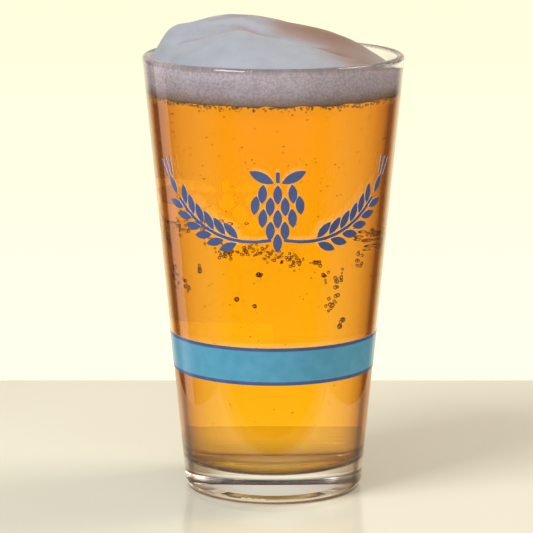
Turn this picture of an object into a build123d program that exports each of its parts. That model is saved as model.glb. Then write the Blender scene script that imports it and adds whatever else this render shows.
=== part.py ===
from build123d import *
import os
from math import atan, cos, degrees, radians, sin

# A conical pint tumbler with its printed decoration, its drink and the foam head.
# Millimetres, +Z up, origin at the centre of the base on the resting plane.
# Azimuths are in degrees round the glass: 0 faces -Y, 90 faces +X and 180 faces +Y.

# Glass
height = 149.2
rim_radius = 44.45
foot_radius = 30.15
wall_at_rim = 2.8
wall_at_floor = 4.0
floor_height = 8.4
floor_dish = 1.5
floor_corner_radius = 6.0
heel_radius = 2.6
lip_outer_radius = 1.4
lip_inner_radius = 1.2
recess_depth = 1.0
recess_radius = 14.0
recess_slope = 4.0
recess_softening = 1.5

# Drink
beer_level = 137.0
foam_shoulder = 147.4

# Foam lobes: centre X, centre Y, radius, top height
foam_lobe_base = 146.0
foam_lobes = (
    (-9.0, 2.0, 31.0, 162.0),
    (6.0, 5.0, 32.0, 157.5),
    (-2.0, -10.0, 30.0, 157.0),
)

# Print: a white base coat and a colour coat of enamel, fired on the outside of the wall
base_coat = 0.04
colour_coat = 0.06
band_bottom = 42.1
band_height = 13.0
band_line = 1.2
band_start = -180.0
band_sweep = 320.0

# Where the middle of each motif sits: azimuth, height
front_motif_spot = (2.0, 102.0)
back_motif_spot = (-167.5, 91.5)

# Hop cone: leaves in staggered rows, from the top row down, under two crown leaves and a stalk
cone_rows = (3, 4, 3, 2, 1)
cone_top_row = 5.6
cone_row_pitch = 4.1
cone_leaf_pitch = 4.9
cone_leaf_length = 6.6
cone_leaf_width = 3.0
cone_leaf_lean = 5.0
cone_row_droop = 0.2
crown_leaf_length = 9.0
crown_leaf_width = 3.4
crown_leaf_reach = 5.2
crown_leaf_lean = 64.0
crown_height = 11.4
stalk_length = 3.8
stalk_width = 1.3

# Barley ear: a stem along a rising arc, pairs of grains beside it, an end grain and its awns
ear_arc_radius = 35.0
ear_arc_u = 9.5
ear_arc_v = 24.5
ear_first_station = -82.0
ear_last_station = -44.0
ear_stations = 6
ear_bare_stations = 2
grain_length = 7.0
grain_width = 2.8
grain_offset = 2.9
grain_splay = 35.0
end_grain_steps = 1.7
stem_width = 1.1
stem_overlap = 1.3
awn_steps = 3.1
awn_length = 6.5
awn_width = 0.8
awn_spacing = 2.2
awn_splay = 12.0

# The print's shapes are pushed this far through the wall, then trimmed to its outside
print_reach = 2.5
print_margin = 20.0

outer_slope = (rim_radius - foot_radius) / height
outer_lean = atan(outer_slope)
inner_rim_radius = rim_radius - wall_at_rim
floor_edge_height = floor_height + floor_dish
floor_edge_radius = foot_radius + outer_slope * floor_edge_height - wall_at_floor
inner_slope = (inner_rim_radius - floor_edge_radius) / (height - floor_edge_height)
ear_step = (ear_last_station - ear_first_station) / (ear_stations - 1)


def outer_radius(z):
    """Radius of the glass's outside at height z."""
    return foot_radius + outer_slope * z


def inner_radius(z):
    """Radius of the glass's inside at height z."""
    return floor_edge_radius + inner_slope * (z - floor_edge_height)


def cap_radius(base_radius, cap_height):
    """Radius of the sphere whose cap has this base radius and height."""
    return (base_radius**2 + cap_height**2) / (2 * cap_height)


def radial_plane(azimuth):
    """Upright plane through the glass's axis: its X points outwards at that azimuth and its Y up."""
    angle = radians(azimuth)
    out = Vector(sin(angle), -cos(angle), 0)
    return Plane(origin=(0, 0, 0), x_dir=out, z_dir=out.cross(Vector(0, 0, 1)))


def wall_plane(u, v, turn, spot):
    """Plane touching the outside where the flat artwork's point (u, v) lands, turned by turn degrees.

    u runs to the right round the glass and v up its wall, from the artwork's middle at that spot.
    """
    azimuth, middle = spot
    z = middle + v * cos(outer_lean)
    angle = radians(azimuth) + u / outer_radius(middle)
    out = Vector(sin(angle), -cos(angle), 0)
    right = Vector(cos(angle), sin(angle), 0)
    up = Vector(0, 0, cos(outer_lean)) + out * sin(outer_lean)
    x_dir = right * cos(radians(turn)) + up * sin(radians(turn))
    return Plane(origin=out * outer_radius(z) + Vector(0, 0, z), x_dir=x_dir, z_dir=right.cross(up))


def cavity_shape(top):
    """Half section of the space inside the glass, from its dished floor up to a height."""
    with BuildSketch() as cavity:
        with BuildLine():
            ThreePointArc(
                (0, floor_height),
                (floor_edge_radius / 2, floor_height + floor_dish / 4),
                (floor_edge_radius, floor_edge_height),
            )
            Polyline(
                (floor_edge_radius, floor_edge_height),
                (inner_radius(top), top),
                (0, top),
                (0, floor_height),
            )
        make_face()
        corner = cavity.vertices().sort_by_distance((floor_edge_radius, floor_edge_height))[0]
        fillet(corner, radius=floor_corner_radius)
    return cavity.sketch


def skin_shape(low, high, gap, thickness):
    """Half section of a thin coat lying along the outside of the wall, a gap clear of it."""
    with BuildSketch() as skin:
        with BuildLine():
            Polyline(
                (outer_radius(low) + gap, low),
                (outer_radius(low) + gap + thickness, low),
                (outer_radius(high) + gap + thickness, high),
                (outer_radius(high) + gap, high),
                close=True,
            )
        make_face()
    return skin.sketch


def leaf_shape(length, width):
    """A leaf or grain: two arcs that meet in points, lying along X."""
    with BuildSketch() as leaf:
        with BuildLine():
            ThreePointArc((-length / 2, 0), (0, width / 2), (length / 2, 0))
            ThreePointArc((length / 2, 0), (0, -width / 2), (-length / 2, 0))
        make_face()
    return leaf.sketch


def stroke_shape(length, width):
    """A round-ended stroke, lying along X."""
    with BuildSketch() as stroke:
        SlotOverall(length, width)
    return stroke.sketch


def hop_cone(spot):
    """The planes and shapes of a hop cone that hangs from a stalk between two crown leaves."""
    leaf = leaf_shape(cone_leaf_length, cone_leaf_width)
    crown_leaf = leaf_shape(crown_leaf_length, crown_leaf_width)
    stalk = stroke_shape(stalk_length, stalk_width)
    placed = [(wall_plane(0, crown_height, 90, spot), stalk)]
    for side in (-1, 1):
        turn = 90 - side * crown_leaf_lean
        placed.append((wall_plane(side * crown_leaf_reach, crown_height, turn, spot), crown_leaf))
    for row, count in enumerate(cone_rows):
        for index in range(count):
            side = index - (count - 1) / 2
            v = cone_top_row - row * cone_row_pitch + cone_row_droop * side * side
            turn = 90 + side * cone_leaf_lean
            placed.append((wall_plane(side * cone_leaf_pitch, v, turn, spot), leaf))
    return placed


def barley_ear(side, spot):
    """The planes and shapes of an ear of barley that rises to the right, or to the left for side -1."""
    grain = leaf_shape(grain_length, grain_width)
    stem = stroke_shape(radians(ear_step) * ear_arc_radius * stem_overlap, stem_width)
    awn = stroke_shape(awn_length, awn_width)
    end_station = ear_last_station + end_grain_steps * ear_step
    awn_station = ear_last_station + awn_steps * ear_step

    # Each entry is a station round the arc, an offset towards its centre, a splay and a shape
    laid_out = [(end_station, 0, 0, grain)]
    for index in range(-ear_bare_stations, ear_stations):
        laid_out.append((ear_first_station + index * ear_step, 0, 0, stem))
    for index in range(ear_stations):
        station = ear_first_station + (index + 0.5) * ear_step
        for edge in (-1, 1):
            laid_out.append((station, edge * grain_offset, edge * grain_splay, grain))
    for edge in (-1, 0, 1):
        laid_out.append((awn_station, edge * awn_spacing, edge * awn_splay, awn))

    placed = []
    for station, offset, splay, shape in laid_out:
        reach = ear_arc_radius - offset
        u = side * (ear_arc_u + reach * cos(radians(station)))
        v = ear_arc_v + reach * sin(radians(station))
        heading = station + 90 + splay
        turn = heading if side > 0 else 180 - heading
        placed.append((wall_plane(u, v, turn, spot), shape))
    return placed


front_artwork = hop_cone(front_motif_spot)
front_artwork += barley_ear(-1, front_motif_spot)
front_artwork += barley_ear(1, front_motif_spot)
back_artwork = hop_cone(back_motif_spot)

os.makedirs("parts", exist_ok=True)

# Glass: one moulded tumbler with a thick base, a dished floor and a recess under it
with BuildPart() as glass:
    with BuildSketch(Plane.XZ) as wall_section:
        with BuildLine():
            Polyline(
                (0, recess_depth),
                (recess_radius, recess_depth),
                (recess_radius + recess_slope, 0),
                (foot_radius, 0),
                (rim_radius, height),
                (0, height),
                close=True,
            )
        make_face()
        add(cavity_shape(height), mode=Mode.SUBTRACT)
        fillet(wall_section.vertices().sort_by_distance((foot_radius, 0))[0], radius=heel_radius)
        recess_top = wall_section.vertices().sort_by_distance((recess_radius, recess_depth))[0]
        fillet(recess_top, radius=recess_softening)
        recess_foot = wall_section.vertices().sort_by_distance((recess_radius + recess_slope, 0))[0]
        fillet(recess_foot, radius=recess_softening)
        outer_lip = wall_section.vertices().sort_by_distance((rim_radius, height))[0]
        fillet(outer_lip, radius=lip_outer_radius)
        inner_lip = wall_section.vertices().sort_by_distance((inner_rim_radius, height))[0]
        fillet(inner_lip, radius=lip_inner_radius)
    revolve(axis=Axis.Z)
glass.part.label = "glass"
export_step(glass.part, "parts/glass.step")

# Beer: fills the glass from its floor to the underside of the foam
with BuildPart() as beer:
    with BuildSketch(Plane.XZ):
        add(cavity_shape(beer_level))
    revolve(axis=Axis.Z)
beer.part.label = "beer"
export_step(beer.part, "parts/beer.step")

# Foam head: a plug that fills the glass above the beer, with rounded lobes standing over the rim
with BuildPart() as foam_head:
    with BuildSketch(Plane.XZ):
        with BuildLine():
            Polyline(
                (0, beer_level),
                (inner_radius(beer_level), beer_level),
                (inner_radius(foam_shoulder), foam_shoulder),
                (0, foam_shoulder),
                close=True,
            )
        make_face()
    revolve(axis=Axis.Z)
    for lobe_x, lobe_y, lobe_radius, lobe_top in foam_lobes:
        lobe_plane = Plane(origin=(lobe_x, lobe_y, foam_lobe_base), x_dir=(1, 0, 0), z_dir=(0, -1, 0))
        with BuildSketch(lobe_plane):
            with BuildLine():
                lobe_height = lobe_top - foam_lobe_base
                dome = RadiusArc((lobe_radius, 0), (0, lobe_height), -cap_radius(lobe_radius, lobe_height))
                Line(dome @ 1, (0, 0))
                Line((0, 0), dome @ 0)
            make_face()
        revolve(axis=Axis((lobe_x, lobe_y, 0), (0, 0, 1)))
foam_head.part.label = "foam_head"
export_step(foam_head.part, "parts/foam_head.step")

# Band: one white base coat, and on it a wide stripe between two narrow lines, open at the back seam
band_top = band_bottom + band_height
band_coats = (
    ("band_base_coat", band_bottom, band_top, 0, base_coat),
    ("band_lower_line", band_bottom, band_bottom + band_line, base_coat, colour_coat),
    ("band_stripe", band_bottom + band_line, band_top - band_line, base_coat, colour_coat),
    ("band_upper_line", band_top - band_line, band_top, base_coat, colour_coat),
)
for coat_name, coat_low, coat_high, coat_gap, coat_thickness in band_coats:
    with BuildPart() as band_coat:
        with BuildSketch(radial_plane(band_start)):
            add(skin_shape(coat_low, coat_high, coat_gap, coat_thickness))
        revolve(axis=Axis.Z, revolution_arc=band_sweep)
    band_coat.part.label = coat_name
    export_step(band_coat.part, f"parts/{coat_name}.step")

# Motifs: hop cone and barley ears at the front, one hop cone at the back, each in two coats
motif_coats = (
    ("front_motif_base_coat", front_artwork, front_motif_spot, 0, base_coat),
    ("front_motif", front_artwork, front_motif_spot, base_coat, colour_coat),
    ("back_motif_base_coat", back_artwork, back_motif_spot, 0, base_coat),
    ("back_motif", back_artwork, back_motif_spot, base_coat, colour_coat),
)
for coat_name, artwork, spot, coat_gap, coat_thickness in motif_coats:
    with BuildPart() as motif_coat:
        for artwork_plane, artwork_shape in artwork:
            with BuildSketch(artwork_plane):
                add(artwork_shape)
            extrude(amount=print_reach, both=True)
        with BuildSketch(Plane.XZ) as coat_section:
            low = spot[1] - print_margin
            high = spot[1] + print_margin
            add(skin_shape(low, high, coat_gap, coat_thickness))
        revolve(axis=Axis.Z, mode=Mode.INTERSECT)
    motif_coat.part.label = coat_name
    export_step(motif_coat.part, f"parts/{coat_name}.step")
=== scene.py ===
import math
import random

import bmesh
import bpy
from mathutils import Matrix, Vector, noise


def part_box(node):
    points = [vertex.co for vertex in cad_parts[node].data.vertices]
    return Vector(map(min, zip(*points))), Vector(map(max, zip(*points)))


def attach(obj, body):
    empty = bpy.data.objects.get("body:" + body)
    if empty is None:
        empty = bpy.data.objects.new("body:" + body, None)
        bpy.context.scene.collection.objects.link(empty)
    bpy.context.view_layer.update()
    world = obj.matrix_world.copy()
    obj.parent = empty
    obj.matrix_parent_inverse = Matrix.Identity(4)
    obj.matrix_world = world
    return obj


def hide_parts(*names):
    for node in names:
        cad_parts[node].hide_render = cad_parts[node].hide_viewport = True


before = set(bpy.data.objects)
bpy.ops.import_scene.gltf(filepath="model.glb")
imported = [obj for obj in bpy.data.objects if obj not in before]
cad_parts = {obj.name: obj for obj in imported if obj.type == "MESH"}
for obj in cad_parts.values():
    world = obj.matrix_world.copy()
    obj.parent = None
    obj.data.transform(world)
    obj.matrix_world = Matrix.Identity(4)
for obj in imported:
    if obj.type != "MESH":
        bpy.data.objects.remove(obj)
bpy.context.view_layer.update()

# A pint glass of beer, in metres, in the CAD frame: +Z up, origin at the middle of the base,
# the printed front facing -Y. Azimuths are in degrees round the glass: 0 faces -Y and 90 faces +X.
MM = 0.001

# What the frame says
_, GLASS_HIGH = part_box("glass")
BEER_LOW, BEER_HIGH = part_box("beer")
RIM_Z = GLASS_HIGH.z
FLOOR_Z = BEER_LOW.z
BEER_TOP_Z = BEER_HIGH.z
BEER_TOP_RADIUS = BEER_HIGH.x

# The inside of the glass, as the CAD model has it
FLOOR_DISH = 1.5 * MM
FLOOR_EDGE_RADIUS = 27.1 * MM
FLOOR_CORNER_RADIUS = 6.0 * MM
FLOOR_EDGE_Z = FLOOR_Z + FLOOR_DISH
INNER_SLOPE = (BEER_TOP_RADIUS - FLOOR_EDGE_RADIUS) / (BEER_TOP_Z - FLOOR_EDGE_Z)

# How far the beer and the foam reach into the wall at most, so that no air shows between them
WALL_OVERLAP = 0.12 * MM

LATHE_SEGMENTS = 256
PROFILE_STEPS = 12
ON_AXIS = 1e-9
SHARP_ANGLE = math.radians(40)


def inner_radius(z):
    """Radius of the inside of the glass's wall at height z."""
    return FLOOR_EDGE_RADIUS + INNER_SLOPE * (z - FLOOR_EDGE_Z)


def on_wall(azimuth, z, inset):
    """Point inside the glass, inset from the inside of its wall."""
    angle = math.radians(azimuth)
    radius = inner_radius(z) - inset
    return Vector((radius * math.sin(angle), -radius * math.cos(angle), z))


# Meshes


def new_piece(name, mesh, material, node=None):
    """Links a mesh as a piece on the one body, with its finish and the CAD node it stands for."""
    piece = bpy.data.objects.new(name, mesh)
    bpy.context.scene.collection.objects.link(piece)
    mesh.materials.append(material)
    for polygon in mesh.polygons:
        polygon.use_smooth = True
    mesh.set_sharp_from_angle(angle=SHARP_ANGLE)
    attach(piece, "root")
    if node:
        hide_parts(node)


def skin_rings(mesh, rings):
    """Faces from each ring of points to the next. The first and last rings are single points."""
    for low, high in zip(rings[:-1], rings[1:]):
        count = max(len(low), len(high))
        for k in range(count):
            after = (k + 1) % count
            if len(low) == 1:
                mesh.faces.new((low[0], high[after], high[k]))
            elif len(high) == 1:
                mesh.faces.new((low[k], low[after], high[0]))
            else:
                mesh.faces.new((low[k], low[after], high[after], high[k]))
    bmesh.ops.recalc_face_normals(mesh, faces=mesh.faces)


def as_data(name, mesh):
    """Writes a working mesh to a new mesh of Blender's, and frees it."""
    data = bpy.data.meshes.new(name)
    mesh.to_mesh(data)
    mesh.free()
    return data


def lathe(name, profile):
    """Closed mesh turned round Z from (radius, height) points that start and end on the axis."""
    mesh = bmesh.new()
    rings = []
    for radius, z in profile:
        if radius < ON_AXIS:
            rings.append([mesh.verts.new((0, 0, z))])
            continue
        ring = []
        for k in range(LATHE_SEGMENTS):
            angle = 2 * math.pi * k / LATHE_SEGMENTS
            ring.append(mesh.verts.new((radius * math.cos(angle), radius * math.sin(angle), z)))
        rings.append(ring)
    skin_rings(mesh, rings)
    return as_data(name, mesh)


def inside_profile(grow):
    """(radius, height) points of the inside of the glass, grown outwards, from the axis to the wall."""
    dish = []
    for k in range(PROFILE_STEPS + 1):
        share = k / PROFILE_STEPS
        dish.append((FLOOR_EDGE_RADIUS * share, FLOOR_Z + FLOOR_DISH * share**2))

    # The corner between floor and wall is an arc that touches both
    edge = Vector((FLOOR_EDGE_RADIUS, FLOOR_EDGE_Z))
    along_floor = (Vector(dish[-2]) - edge).normalized()
    along_wall = Vector((INNER_SLOPE, 1)).normalized()
    half_angle = along_floor.angle(along_wall) / 2
    reach = FLOOR_CORNER_RADIUS / math.tan(half_angle)
    inward = (along_floor + along_wall).normalized()
    centre = edge + inward * FLOOR_CORNER_RADIUS / math.sin(half_angle)
    first = edge + along_floor * reach - centre
    last = edge + along_wall * reach - centre
    start = math.atan2(first.y, first.x)
    sweep = (math.atan2(last.y, last.x) - start + math.pi) % (2 * math.pi) - math.pi

    points = [(0.0, FLOOR_Z - grow)]
    points += [(radius, z - grow) for radius, z in dish[1:] if radius < centre.x - MM]
    for k in range(PROFILE_STEPS + 1):
        angle = start + sweep * k / PROFILE_STEPS
        corner = centre + Vector((math.cos(angle), math.sin(angle))) * (FLOOR_CORNER_RADIUS + grow)
        points.append((corner.x, corner.y))
    return points


# Materials

GLASS_IOR = 1.52
BEER_IOR = 1.34
CLEAR = (0.985, 0.995, 0.99)
AMBER = (0.997, 0.862, 0.05)
AMBER_DENSITY = 88.0

# Texture scales of the foam's cells: higher is finer
FINE_CELLS = 1250.0
FINEST_CELLS = 2900.0


def principled(name):
    """New node material and its Principled shader."""
    material = bpy.data.materials.new(name)
    material.use_nodes = True
    return material, material.node_tree.nodes["Principled BSDF"]


def add_noise(tree, scale, detail):
    """Noise texture in the object's own metres."""
    place = tree.nodes.new("ShaderNodeTexCoord")
    pattern = tree.nodes.new("ShaderNodeTexNoise")
    pattern.inputs["Scale"].default_value = scale
    pattern.inputs["Detail"].default_value = detail
    tree.links.new(place.outputs["Object"], pattern.inputs["Vector"])
    return pattern.outputs["Fac"]


def add_cells(tree, scale):
    """Voronoi cells in the object's own metres."""
    place = tree.nodes.new("ShaderNodeTexCoord")
    pattern = tree.nodes.new("ShaderNodeTexVoronoi")
    pattern.inputs["Scale"].default_value = scale
    tree.links.new(place.outputs["Object"], pattern.inputs["Vector"])
    return pattern.outputs["Distance"]


def add_height(tree, low, high):
    """How far a point's height is from one level (0) to another (1)."""
    place = tree.nodes.new("ShaderNodeTexCoord")
    split = tree.nodes.new("ShaderNodeSeparateXYZ")
    tree.links.new(place.outputs["Object"], split.inputs["Vector"])
    return add_range(tree, split.outputs["Z"], low, high)


def add_ramp(tree, value, stops):
    """Colour ramp on a value, from (position, colour) stops."""
    ramp = tree.nodes.new("ShaderNodeValToRGB")
    elements = ramp.color_ramp.elements
    while len(elements) < len(stops):
        elements.new(0.5)
    for element, (position, colour) in zip(elements, stops):
        element.position = position
        element.color = (*colour, 1.0)
    tree.links.new(value, ramp.inputs["Fac"])
    return ramp.outputs["Color"]


def add_range(tree, value, low, high):
    """How far a value is from one level (0) to another (1)."""
    spread = tree.nodes.new("ShaderNodeMapRange")
    spread.inputs["From Min"].default_value = low
    spread.inputs["From Max"].default_value = high
    tree.links.new(value, spread.inputs["Value"])
    return spread.outputs["Result"]


def add_math(tree, operation, *values):
    """Arithmetic on one or two values, held between 0 and 1."""
    result = tree.nodes.new("ShaderNodeMath")
    result.operation = operation
    result.use_clamp = True
    for value, socket in zip(values, result.inputs):
        tree.links.new(value, socket)
    return result.outputs["Value"]


def add_attribute(tree, name):
    """A value that the mesh carries at its points."""
    attribute = tree.nodes.new("ShaderNodeAttribute")
    attribute.attribute_name = name
    return attribute.outputs["Fac"]


def add_mix(tree, share, one, other):
    """One colour turning into another as the share goes from 0 to 1."""
    mix = tree.nodes.new("ShaderNodeMix")
    mix.data_type = "RGBA"
    tree.links.new(share, mix.inputs["Factor"])
    tree.links.new(one, mix.inputs["A"])
    tree.links.new(other, mix.inputs["B"])
    return mix.outputs["Result"]


def add_product(tree, one, other):
    """One colour times another."""
    mix = tree.nodes.new("ShaderNodeMix")
    mix.data_type = "RGBA"
    mix.blend_type = "MULTIPLY"
    mix.inputs["Factor"].default_value = 1.0
    tree.links.new(one, mix.inputs["A"])
    tree.links.new(other, mix.inputs["B"])
    return mix.outputs["Result"]


def add_bump(tree, shader, height, strength, distance, under=None):
    """Bump from a height value onto the shader's normal."""
    bump = tree.nodes.new("ShaderNodeBump")
    bump.inputs["Strength"].default_value = strength
    bump.inputs["Distance"].default_value = distance
    tree.links.new(height, bump.inputs["Height"])
    if under:
        tree.links.new(under, bump.inputs["Normal"])
    tree.links.new(bump.outputs["Normal"], shader.inputs["Normal"])
    return bump.outputs["Normal"]


def glass_material():
    """Clear soda-lime glass with the faint waves of a pressed wall.

    Below the beer's level it turns brown edge-on: a painted reflection of the dark studio that a full glass
    mirrors.
    """
    material, shader = principled("clear_glass")
    tree = material.node_tree
    # Painted reflection: edge-on the colour turns brown, for the dark studio mirrored in the wall
    edge_on = tree.nodes.new("ShaderNodeLayerWeight")
    painted_dark_edges = add_ramp(
        tree,
        edge_on.outputs["Facing"],
        (
            (0.08, CLEAR),
            (0.22, (0.84, 0.76, 0.70)),
            (0.42, (0.82, 0.61, 0.42)),
            (0.54, (0.54, 0.32, 0.17)),
            (0.62, (0.10, 0.035, 0.01)),
            (0.68, (0.14, 0.05, 0.02)),
            (0.78, (0.85, 0.62, 0.35)),
            (1.0, (0.98, 0.85, 0.60)),
        ),
    )
    # The plain colour is for programs that don't follow the nodes
    shader.inputs["Base Color"].default_value = (*CLEAR, 1)
    mix = tree.nodes.new("ShaderNodeMix")
    mix.data_type = "RGBA"
    mix.inputs["A"].default_value = (*CLEAR, 1)
    below_beer = add_height(tree, BEER_TOP_Z + 4 * MM, BEER_TOP_Z - 3 * MM)
    tree.links.new(below_beer, mix.inputs["Factor"])
    tree.links.new(painted_dark_edges, mix.inputs["B"])
    tree.links.new(mix.outputs["Result"], shader.inputs["Base Color"])
    shader.inputs["Roughness"].default_value = 0.0
    shader.inputs["IOR"].default_value = GLASS_IOR
    shader.inputs["Specular IOR Level"].default_value = 0.2
    shader.inputs["Transmission Weight"].default_value = 1.0
    add_bump(tree, shader, add_noise(tree, 55.0, 1.0), 0.05, 0.4 * MM)
    return material


def beer_material():
    """Clear amber beer: its colour comes from how far light goes through it."""
    material, shader = principled("amber_beer")
    tree = material.node_tree
    shader.inputs["Base Color"].default_value = (1, 1, 1, 1)
    shader.inputs["Roughness"].default_value = 0.0
    shader.inputs["IOR"].default_value = BEER_IOR
    shader.inputs["Transmission Weight"].default_value = 1.0
    shader.inputs["Specular IOR Level"].default_value = 0.05
    amber = tree.nodes.new("ShaderNodeVolumeAbsorption")
    amber.inputs["Color"].default_value = (*AMBER, 1)
    amber.inputs["Density"].default_value = AMBER_DENSITY
    tree.links.new(amber.outputs["Volume"], tree.nodes["Material Output"].inputs["Volume"])
    return material


def bubble_material():
    """Air in beer. The bubbles' faces look inwards, so this is beer seen from the air's side."""
    material, shader = principled("bubble_skin")
    tree = material.node_tree
    # Painted shade: edge-on the colour turns dark brown, a painted dark rim round each bubble
    edge_on = tree.nodes.new("ShaderNodeLayerWeight")
    rings = add_ramp(
        tree,
        edge_on.outputs["Facing"],
        (
            (0.12, (1.0, 0.97, 0.9)),
            (0.32, (0.34, 0.05, 0.0)),
            (0.8, (0.16, 0.02, 0.0)),
        ),
    )
    tree.links.new(rings, shader.inputs["Base Color"])
    shader.inputs["Roughness"].default_value = 0.0
    shader.inputs["IOR"].default_value = BEER_IOR
    shader.inputs["Transmission Weight"].default_value = 1.0
    return material


def foam_material():
    """Wet white foam with a painted peach glow on its crests and painted brown shade in its hollows, celled and
    warm over the beer.
    """
    material, shader = principled("foam")
    tree = material.node_tree
    # Painted light and shade from the crest values: brown shade at 0, grey-blue on plain slopes, a peach glow
    # towards 1
    painted_glow_and_shade = add_ramp(
        tree,
        add_attribute(tree, "crest"),
        (
            (0.0, (0.25, 0.11, 0.05)),
            (0.28, (0.32, 0.22, 0.18)),
            (0.50, (0.38, 0.39, 0.415)),
            (0.68, (0.42, 0.40, 0.39)),
            (0.92, (0.72, 0.46, 0.34)),
        ),
    )
    by_height = add_ramp(
        tree,
        add_height(tree, BEER_TOP_Z - 1 * MM, RIM_Z),
        (
            (0.0, (0.42, 0.25, 0.13)),
            (0.10, (0.56, 0.42, 0.35)),
            (0.35, (0.86, 0.76, 0.83)),
            (1.0, (0.97, 0.91, 1.0)),
        ),
    )
    cell_stops = ((0.25, (1, 1, 1)), (0.75, (0.80, 0.75, 0.75)))
    cells = add_ramp(tree, add_cells(tree, FINE_CELLS), cell_stops)
    celled = add_product(tree, by_height, cells)
    tone = add_mix(tree, add_attribute(tree, "collar"), painted_glow_and_shade, celled)
    mottle_stops = ((0.3, (0.90, 0.88, 0.88)), (0.7, (1, 1, 1)))
    mottle = add_ramp(tree, add_noise(tree, 160.0, 5.0), mottle_stops)
    tone = add_product(tree, tone, mottle)
    tree.links.new(tone, shader.inputs["Base Color"])
    shader.inputs["Roughness"].default_value = 0.42
    shader.inputs["Subsurface Weight"].default_value = 0.5
    shader.inputs["Subsurface Radius"].default_value = (1.0, 0.55, 0.4)
    shader.inputs["Subsurface Scale"].default_value = 2.5 * MM
    coarse = add_bump(tree, shader, add_cells(tree, FINE_CELLS), 0.35, 0.25 * MM)
    add_bump(tree, shader, add_cells(tree, FINEST_CELLS), 0.4, 0.12 * MM, coarse)
    return material


def enamel_material(name, colour, shade, glow=0.0):
    """Fired enamel: a glossy coat with the faint mottle and grain of a screen print.

    A glow stands for the daylight that soaks through a thin white coat, seen from inside the glass.
    """
    material, shader = principled(name)
    tree = material.node_tree
    mottled = add_ramp(tree, add_noise(tree, 260.0, 6.0), ((0.35, shade), (0.65, colour)))
    tree.links.new(mottled, shader.inputs["Base Color"])
    sheen = tree.nodes.new("ShaderNodeMapRange")
    sheen.inputs["To Min"].default_value = 0.14
    sheen.inputs["To Max"].default_value = 0.28
    tree.links.new(add_noise(tree, 700.0, 3.0), sheen.inputs["Value"])
    tree.links.new(sheen.outputs["Result"], shader.inputs["Roughness"])
    add_bump(tree, shader, add_noise(tree, 2200.0, 4.0), 0.12, 0.04 * MM)
    shader.inputs["Emission Color"].default_value = (1.0, 0.95, 0.70, 1)
    shader.inputs["Emission Strength"].default_value = glow
    return material


# Foam head: a height field inside the rim, closed by the wall and a ragged underside.
# Its shape is in millimetres: X and Y from the middle of the glass, heights over the rim.

FOAM_RINGS = 84
FOAM_SEGMENTS = 288
FOAM_WALL_RINGS = 10
RING_CROWDING = 1.25
WALL_BLEND_START = 0.86
WALL_BLEND_POWER = 2.2

# Ridges: height of the crest at each X
FOAM_BACK_RIDGE = (
    (-41, 1.6),
    (-37, 6.2),
    (-33, 8.9),
    (-28, 9.8),
    (-20, 11.5),
    (-13, 12.3),
    (-5, 11.8),
    (5, 9.4),
    (12, 8.0),
    (20, 5.9),
    (28, 2.8),
    (34, -0.8),
    (40, -3.4),
)
FOAM_FRONT_RIDGE = (
    (-38, 0.6),
    (-34, 2.5),
    (-29, 5.2),
    (-20, 7.4),
    (-11, 9.2),
    (-5, 7.8),
    (0, 6.5),
    (6, 5.0),
    (12, 3.9),
    (20, 1.4),
    (27, -1.0),
    (35, -3.8),
)
BACK_CREST_Y = 8.0
FRONT_CREST_Y = -12.0
RIDGE_JOIN = 0.7

# Grooves: from X, Y to X, Y, half width, depth
FOAM_GROOVES = (
    (-26, -1, 2, -4, 3.8, 1.1),
    (-24, 6, -9, 9, 3.0, 0.8),
    (-30, -12, -22, -24, 5.0, 0.7),
)

FOAM_RADIUS = 41.6
EDGE_RADIUS = 36
EDGE_DROP = -0.9
RIGHT_DIP = 4.2
RIGHT_DIP_AZIMUTH = 104
RIGHT_DIP_WIDTH = 38
SWELL = 0.45
SWELL_SCALE = 0.075
RIPPLE = 0.10
RIPPLE_SCALE = 0.22

# A point this much higher than the foam a reach before and behind it is a crest
CREST_REACH = 2.6
CREST_LIFT = 0.8


def held(value):
    """The value held between 0 and 1."""
    return max(0.0, min(1.0, value))


def soft_step(x, middle, width):
    """Smooth step from 0 to 1 as x passes the middle."""
    return 1 / (1 + math.exp(-(x - middle) / width))


def mound(x, y, middle_x, middle_y, width_x, width_y):
    """Smooth patch: 1 in its middle, fading to 0 round it."""
    return math.exp(-(((x - middle_x) / width_x) ** 2) - ((y - middle_y) / width_y) ** 2)


def edge_height(azimuth):
    """Height of the foam where it meets the glass: lower on the right."""
    dip = math.exp(-(((azimuth - RIGHT_DIP_AZIMUTH) / RIGHT_DIP_WIDTH) ** 2))
    return EDGE_DROP - RIGHT_DIP * dip


def ridge_height(x, ridge):
    """Height of a ridge at x: a smooth cubic through its points, level beyond both ends."""
    x = max(ridge[0][0], min(ridge[-1][0] - 0.001, x))
    k = max(i for i, (at, _) in enumerate(ridge[:-1]) if at <= x)
    (x0, h0), (x1, h1) = ridge[max(k - 1, 0)], ridge[k]
    (x2, h2), (x3, h3) = ridge[k + 1], ridge[min(k + 2, len(ridge) - 1)]
    t = (x - x1) / (x2 - x1)
    start = (h2 - h0) / (x2 - x0) * (x2 - x1)
    end = (h3 - h1) / (x3 - x1) * (x2 - x1)
    through = (2 * t**3 - 3 * t**2 + 1) * h1 + (3 * t**2 - 2 * t**3) * h2
    return through + (t**3 - 2 * t**2 + t) * start + (t**3 - t**2) * end


def fall(t, sharpness):
    """A ridge's section: 1 on its crest, 0 a whole reach away."""
    return max(0.0, 1 - abs(t) ** sharpness) ** 0.7


def groove_depth(x, y, groove):
    """How deep a groove is at (x, y). It runs out at both ends."""
    x0, y0, x1, y1, half_width, depth = groove
    start = Vector((x0, y0))
    run = Vector((x1, y1)) - start
    t = held((Vector((x, y)) - start).dot(run) / run.length_squared)
    gap = (Vector((x, y)) - start - run * t).length
    return depth * min(1.0, 6 * t * (1 - t)) * math.exp(-((gap / half_width) ** 2))


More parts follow.
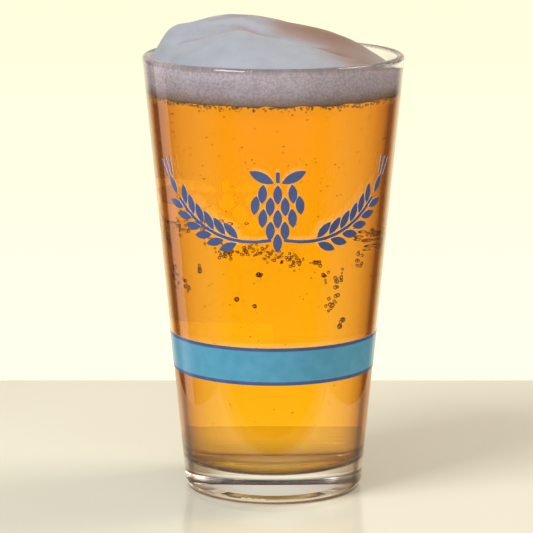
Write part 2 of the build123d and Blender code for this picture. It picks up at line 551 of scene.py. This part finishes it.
def foam_height(x, y):
    """Height of the foam's top at (x, y)."""
    # The edge's dip fades out towards the middle, where azimuths meet
    outward = min(1.0, math.hypot(x, y) / EDGE_RADIUS) ** 2
    edge = edge_height(math.degrees(math.atan2(x, -y)))
    edge = EDGE_DROP + (edge - EDGE_DROP) * outward

    # Both ridges fall to the wall outside and to the valley inside, more steeply on the right
    wall_y = math.sqrt(max(9.0, FOAM_RADIUS**2 - x * x))
    to_right = soft_step(x, -11, 4.5) * (1 - 0.75 * soft_step(x, 24, 3))
    back_y = min(BACK_CREST_Y, wall_y * 0.5)
    front_y = max(FRONT_CREST_Y, -wall_y * 0.55)
    if y > back_y:
        back_share = fall((y - back_y) / (wall_y - back_y), 1.9)
    else:
        back_share = fall((back_y - y) / (25 - 12.5 * to_right), 1.6)
    if y < front_y:
        front_share = fall((front_y - y) / (wall_y + front_y), 1.6)
    else:
        front_share = fall((y - front_y) / (15 - 7 * to_right), 1.15)
    base = edge - 1
    back = base + (ridge_height(x, FOAM_BACK_RIDGE) - base) * back_share
    front = base + (ridge_height(x, FOAM_FRONT_RIDGE) - base) * front_share
    height = RIDGE_JOIN * math.log(math.exp(back / RIDGE_JOIN) + math.exp(front / RIDGE_JOIN))

    height -= sum(groove_depth(x, y, groove) for groove in FOAM_GROOVES)
    swell = noise.noise(Vector((x * SWELL_SCALE, y * SWELL_SCALE, 3.1)))
    ripple = noise.noise(Vector((x * RIPPLE_SCALE, y * RIPPLE_SCALE, 8.7)))
    return height + SWELL * swell + RIPPLE * ripple


def foam_shade(x, y):
    """How much of the warm shade, in the valley and low on the right, falls at (x, y)."""
    return min(1.0, mound(x, y, 12, 7, 21, 11) + 0.6 * mound(x, y, 30, -14, 12, 14))


def painted_light_and_shade(x, y, height):
    """0 in a shaded hollow of the foam, 0.5 on a plain slope and 1 on a crest: painted shade below 0.5 and a
    painted peach glow above it.
    """
    near = (foam_height(x, y + CREST_REACH) + foam_height(x, y - CREST_REACH)) / 2
    lift = (height - near) / CREST_LIFT
    # Painted light and shade: a peach glow where the foam stands over its neighbours, brown shade in hollows and
    # where foam_shade falls
    crest = 0.5 * held(lift - 0.2)
    hollow = 0.2 * held(-lift - 0.2)
    return max(0.0, 0.5 + crest - hollow - 0.48 * foam_shade(x, y))


def foam_top(mesh):
    """Rings of points on the foam's top, from the middle to the wall, and their crest values of painted light and
    shade.
    """
    wall_radius = inner_radius(RIM_Z - 1.5 * MM) + WALL_OVERLAP * 0.5
    middle = foam_height(0, 0)
    crest = [painted_light_and_shade(0, 0, middle)]
    rings = [[mesh.verts.new((0, 0, RIM_Z + middle * MM))]]
    for ring_index in range(1, FOAM_RINGS + 1):
        share = 1 - (1 - ring_index / FOAM_RINGS) ** RING_CROWDING
        blend = max(0.0, (share - WALL_BLEND_START) / (1 - WALL_BLEND_START))
        at_wall = blend**WALL_BLEND_POWER
        ring = []
        for k in range(FOAM_SEGMENTS):
            azimuth = 360 * k / FOAM_SEGMENTS - 180
            angle = math.radians(azimuth)
            x = wall_radius * share * math.sin(angle)
            y = -wall_radius * share * math.cos(angle)
            inner = foam_height(x / MM, y / MM)
            edge = edge_height(azimuth) + 0.25 * noise.noise(Vector((x * 300, y * 300, 0.5)))
            z = inner * (1 - at_wall) + edge * at_wall
            ring.append(mesh.verts.new((x, y, RIM_Z + z * MM)))
            crest.append(painted_light_and_shade(x / MM, y / MM, inner) * (1 - blend) + 0.5 * blend)
        rings.append(ring)
    return rings, crest


def foam_collar(mesh, rim):
    """Rings of points down the wall from the foam's rim to a ragged edge, and its underside."""
    rings = []
    for ring_index in range(1, FOAM_WALL_RINGS + 1):
        ring = []
        for k in range(FOAM_SEGMENTS):
            angle = math.radians(360 * k / FOAM_SEGMENTS - 180)
            side, front = math.sin(angle), math.cos(angle)
            ragged = noise.noise(Vector((side * 9, front * 9, 1.7)))
            ragged += 0.6 * noise.noise(Vector((side * 34, front * 34, 6.2)))
            bottom = BEER_TOP_Z - 0.3 * MM + 0.55 * MM * ragged
            z = rim[k].co.z + (bottom - rim[k].co.z) * ring_index / FOAM_WALL_RINGS
            radius = inner_radius(z) + WALL_OVERLAP * 0.5
            ring.append(mesh.verts.new((radius * side, -radius * front, z)))
        rings.append(ring)
    underside = []
    for vertex in rings[-1]:
        x, y, z = vertex.co
        underside.append(mesh.verts.new((x * 0.97, y * 0.97, z - 0.25 * MM)))
    rings.append(underside)
    rings.append([mesh.verts.new((0, 0, BEER_TOP_Z - 0.6 * MM))])
    return rings


def foam_mesh():
    """The foam head's mesh, with the point values that its material reads."""
    mesh = bmesh.new()
    rings, crest = foam_top(mesh)
    rings += foam_collar(mesh, rings[-1])
    skin_rings(mesh, rings)
    below = len(mesh.verts) - len(crest)
    collar = [0.0] * len(crest) + [1.0] * below
    crest += [0.5] * below
    data = as_data("foam_head_sculpt", mesh)
    for name, values in (("crest", crest), ("collar", collar)):
        data.attributes.new(name, "FLOAT", "POINT").data.foreach_set("value", values)
    return data


# Bubbles

# Bubbles on the wall: azimuth (degrees), height, spread round and spread up (mm), how many,
# radius (mm)
WALL_CLUSTERS = (
    (-84, 92, 2.0, 6.0, 18, 0.60),
    (-72, 88, 2.0, 5.0, 16, 0.60),
    (-58, 93, 2.5, 3.5, 16, 0.55),
    (-66, 76, 2.2, 5.0, 20, 0.65),
    (-56, 74, 1.8, 3.0, 10, 0.70),
    (-44, 80, 1.0, 1.6, 6, 0.75),
    (-49, 97, 3.0, 5.0, 16, 0.50),
    (-38, 92, 3.0, 3.0, 14, 0.50),
    (-26, 87, 4.0, 2.6, 34, 0.58),
    (-12, 88, 4.5, 2.0, 34, 0.50),
    (-3, 87, 3.5, 2.4, 26, 0.50),
    (6, 86, 4.5, 2.0, 34, 0.50),
    (13, 84, 2.8, 2.2, 18, 0.55),
    (-7, 80, 1.4, 0.9, 7, 0.70),
    (23, 83, 2.2, 1.8, 10, 0.62),
    (29, 79, 1.6, 2.0, 9, 0.66),
    (38, 77, 2.8, 3.4, 13, 0.70),
    (36, 70, 2.2, 3.6, 8, 0.80),
    (42, 62, 1.0, 1.8, 5, 0.85),
    (33, 66, 0.8, 1.4, 3, 0.75),
    (52, 82, 3.0, 3.0, 9, 0.70),
    (62, 91, 3.0, 1.6, 8, 0.75),
    (78, 88, 2.0, 6.0, 16, 0.65),
    (-21, 71, 0.8, 0.4, 2, 0.80),
    (-10, 69, 0.9, 0.6, 2, 0.70),
    (120, 88, 5.0, 3.0, 26, 0.55),
    (150, 84, 4.0, 4.0, 20, 0.60),
    (-160, 90, 5.0, 2.5, 24, 0.55),
    (-125, 82, 4.0, 4.0, 18, 0.60),
)
RISING_BUBBLES = 260
SHORE_BUBBLES = 620
BUBBLE_DETAIL = 2


def add_bubble(mesh, centre, radius):
    """One closed ball."""
    made = bmesh.ops.create_icosphere(mesh, subdivisions=BUBBLE_DETAIL, radius=radius)
    bmesh.ops.translate(mesh, verts=made["verts"], vec=centre)


def close_bubbles(name, mesh):
    """Turns the balls' faces inwards, as each is air inside the beer, and writes them to a mesh."""
    bmesh.ops.recalc_face_normals(mesh, faces=mesh.faces)
    bmesh.ops.reverse_faces(mesh, faces=mesh.faces)
    return as_data(name, mesh)


def wall_bubbles():
    """Clusters of bubbles that cling to the inside of the wall."""
    draw = random.Random(11)
    mesh = bmesh.new()
    for azimuth, height, spread_round, spread_up, count, size in WALL_CLUSTERS:
        for _ in range(count):
            radius = size * MM * draw.uniform(0.5, 1.2)
            z = height * MM + draw.gauss(0, spread_up * 0.5) * MM
            turn = math.degrees(draw.gauss(0, spread_round * 0.5) * MM / inner_radius(z))
            add_bubble(mesh, on_wall(azimuth + turn, z, radius + WALL_OVERLAP), radius)
    return close_bubbles("wall_bubbles", mesh)


def rising_bubbles():
    """Fine bubbles all through the beer, more of them higher up."""
    draw = random.Random(23)
    mesh = bmesh.new()
    for _ in range(RISING_BUBBLES):
        z = FLOOR_Z + (BEER_TOP_Z - FLOOR_Z) * (0.06 + 0.92 * draw.random() ** 0.7)
        radius = MM * draw.uniform(0.10, 0.26)
        inset = (inner_radius(z) - 2 * MM) * (1 - math.sqrt(draw.random())) + 1 * MM
        add_bubble(mesh, on_wall(draw.uniform(-180, 180), z, inset), radius)
    return close_bubbles("rising_bubbles", mesh)


def shore_bubbles():
    """Small bubbles crowded against the glass just under the foam."""
    draw = random.Random(37)
    mesh = bmesh.new()
    for _ in range(SHORE_BUBBLES):
        radius = MM * draw.uniform(0.14, 0.42)
        z = BEER_TOP_Z - MM * (0.5 + abs(draw.gauss(0, 0.75)))
        add_bubble(mesh, on_wall(draw.uniform(-180, 180), z, radius + WALL_OVERLAP), radius)
    return close_bubbles("shore_bubbles", mesh)


# Finishes: the CAD nodes that keep their own meshes, and the finish each one gets

FINISHES = {
    "glass": "glass",
    "band_base_coat": "white",
    "front_motif_base_coat": "white",
    "back_motif_base_coat": "white",
    "band_stripe": "turquoise",
    "band_upper_line": "blue",
    "band_lower_line": "blue",
    "front_motif": "blue",
    "back_motif": "blue",
}

# Stage

TABLE_HALF_X = 0.112
TABLE_FRONT_Y = -0.068
TABLE_BACK_Y = 0.157
TABLE_THICKNESS = 0.012

COOL = (0.88, 0.94, 1.0)
PINK = (1.0, 0.88, 0.90)
WARM = (1.0, 0.93, 0.84)

CAMERA_DISTANCE = 1.0314
CAMERA_HEIGHT = 0.2735
CAMERA_PITCH = math.radians(10.84)
CAMERA_VIEW = math.radians(9.915)
CAMERA_SHIFT = -0.0130


def build_table():
    """Pale satin table that the glass stands on."""
    data = bpy.data.meshes.new("table")
    along, front, back = TABLE_HALF_X, TABLE_FRONT_Y, TABLE_BACK_Y
    corners = ((-along, front), (along, front), (along, back), (-along, back))
    low = [(x, y, -TABLE_THICKNESS) for x, y in corners]
    high = [(x, y, 0.0) for x, y in corners]
    sides = [(k, (k + 1) % 4, 4 + (k + 1) % 4, 4 + k) for k in range(4)]
    data.from_pydata(low + high, [], [(3, 2, 1, 0), (4, 5, 6, 7), *sides])
    table = bpy.data.objects.new("table", data)
    bpy.context.scene.collection.objects.link(table)
    material, shader = principled("table")
    tree = material.node_tree
    tone_stops = ((0.3, (0.84, 0.76, 0.56)), (0.7, (0.88, 0.80, 0.61)))
    tone = add_ramp(tree, add_noise(tree, 9.0, 3.0), tone_stops)
    tree.links.new(tone, shader.inputs["Base Color"])
    shader.inputs["Roughness"].default_value = 0.12
    data.materials.append(material)


def build_world():
    """Pale backdrop all round, dim overhead and darker to the sides, most of all in reflections.

    In front it is a broad cool window above and dark below, where the table ends.
    """
    world = bpy.data.worlds.new("studio")
    bpy.context.scene.world = world
    world.use_nodes = True
    tree = world.node_tree
    place = tree.nodes.new("ShaderNodeTexCoord")
    split = tree.nodes.new("ShaderNodeSeparateXYZ")
    tree.links.new(place.outputs["Generated"], split.inputs["Vector"])
    toward_x, toward_y, toward_z = (split.outputs[axis] for axis in "XYZ")

    by_height = add_ramp(
        tree,
        add_range(tree, toward_z, -0.6, 0.6),
        (
            (0.0, (0.55, 0.50, 0.40)),
            (0.20, (1.00, 0.90, 0.68)),
            (0.32, (1.22, 1.22, 0.86)),
            (0.42, (1.14, 0.98, 0.72)),
            (0.60, (0.85, 0.76, 0.60)),
            (1.0, (0.24, 0.25, 0.28)),
        ),
    )

    sideways = add_math(tree, "ABSOLUTE", toward_x)
    seen = add_ramp(tree, sideways, ((0.42, (1, 1, 1)), (0.80, (0.66, 0.63, 0.58))))
    mirrored = add_ramp(tree, sideways, ((0.38, (1, 1, 1)), (0.60, (0.10, 0.08, 0.07))))
    path = tree.nodes.new("ShaderNodeLightPath")
    glossy, refracted = path.outputs["Is Glossy Ray"], path.outputs["Is Transmission Ray"]
    by_side = add_mix(tree, add_math(tree, "SUBTRACT", glossy, refracted), seen, mirrored)

    low = add_range(tree, toward_z, -0.26, -0.36)
    low_front = add_math(tree, "MULTIPLY", low, add_range(tree, toward_y, -0.25, -0.6))
    in_front = add_ramp(tree, low_front, ((0.0, (1, 1, 1)), (1.0, (0.05, 0.05, 0.05))))
    high = add_range(tree, toward_z, -0.02, 0.12)
    high_front = add_math(tree, "MULTIPLY", high, add_range(tree, toward_y, -0.25, -0.75))
    window = add_ramp(tree, high_front, ((0.0, (1, 1, 1)), (1.0, (2.0, 2.25, 2.7))))

    all_round = add_product(tree, by_height, by_side)
    colour = add_product(tree, all_round, add_product(tree, in_front, window))
    tree.links.new(colour, tree.nodes["Background"].inputs["Color"])
    tree.nodes["Background"].inputs["Strength"].default_value = 1.0


def add_area_light(name, place, aim, size, power, colour):
    """Soft rectangular light at a place, facing a point."""
    data = bpy.data.lights.new(name, "AREA")
    data.shape = "RECTANGLE"
    data.size, data.size_y = size
    data.energy = power
    data.color = colour
    light = bpy.data.objects.new(name, data)
    bpy.context.scene.collection.objects.link(light)
    light.location = place
    light.rotation_euler = (Vector(aim) - Vector(place)).to_track_quat("-Z", "Y").to_euler()
    return light


def build_lights():
    """A cool soft key high in front on the left, a high fill on the right, and a tall dim strip.

    The strip, at the left, is there for its streak on the glass, so it lights nothing but the glass and its print.
    """
    glass_top = (0, 0, 0.12)
    glass_foot = (0, 0, 0.02)
    add_area_light("key", (-0.60, -0.55, 1.10), glass_top, (0.50, 0.50), 13.0, COOL)
    strip = add_area_light("strip", (-0.245, 0.105, 0.02), glass_foot, (0.08, 0.56), 0.14, PINK)
    strip.visible_camera = False
    strip.visible_transmission = False
    lit = bpy.data.collections.new("strip_lit")
    for node in FINISHES:
        lit.objects.link(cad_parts[node])
    strip.light_linking.receiver_collection = lit
    add_area_light("fill", (0.65, 0.25, 1.0), glass_top, (0.4, 0.4), 6.0, WARM)


def build_camera():
    """Camera at the height and distance of a table-top portrait, looking slightly down."""
    data = bpy.data.cameras.new("camera")
    data.sensor_width = 36.0
    data.lens_unit = "FOV"
    data.angle = CAMERA_VIEW
    data.shift_x = CAMERA_SHIFT
    data.clip_start = 0.05
    data.clip_end = 50.0
    camera = bpy.data.objects.new("camera", data)
    bpy.context.scene.collection.objects.link(camera)
    camera.location = (0, -CAMERA_DISTANCE, CAMERA_HEIGHT)
    camera.rotation_euler = (math.pi / 2 - CAMERA_PITCH, 0, 0)
    bpy.context.scene.camera = camera


def build_object():
    """The printed glass, its beer, bubbles and foam."""
    white = enamel_material("white_enamel", (0.84, 0.84, 0.78), (0.76, 0.76, 0.70), 1.05)
    turquoise = enamel_material("turquoise_enamel", (0.120, 0.400, 0.590), (0.102, 0.360, 0.545))
    blue = enamel_material("blue_enamel", (0.088, 0.130, 0.305), (0.074, 0.112, 0.275))
    materials = {"glass": glass_material(), "white": white, "turquoise": turquoise, "blue": blue}
    for node, finish in FINISHES.items():
        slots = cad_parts[node].data.materials
        slots.clear()
        slots.append(materials[finish])

    profile = inside_profile(WALL_OVERLAP)
    profile.append((inner_radius(BEER_TOP_Z) + WALL_OVERLAP, BEER_TOP_Z))
    profile.append((0.0, BEER_TOP_Z))
    beer = lathe("beer_body", profile)
    new_piece("beer_body", beer, beer_material(), "beer")
    new_piece("foam_sculpt", foam_mesh(), foam_material(), "foam_head")
    air = bubble_material()
    new_piece("wall_bubbles", wall_bubbles(), air)
    new_piece("rising_bubbles", rising_bubbles(), air)
    new_piece("shore_bubbles", shore_bubbles(), air)


def set_light_paths():
    """A plain colour transform, and enough bounces to cross the glass, the beer and the bubbles."""
    scene = bpy.context.scene
    scene.view_settings.view_transform = "Standard"
    scene.cycles.max_bounces = 32
    scene.cycles.transmission_bounces = 32
    scene.cycles.glossy_bounces = 12
    scene.cycles.caustics_refractive = True
    scene.cycles.caustics_reflective = True


build_object()
build_table()
build_world()
build_lights()
build_camera()
set_light_paths()
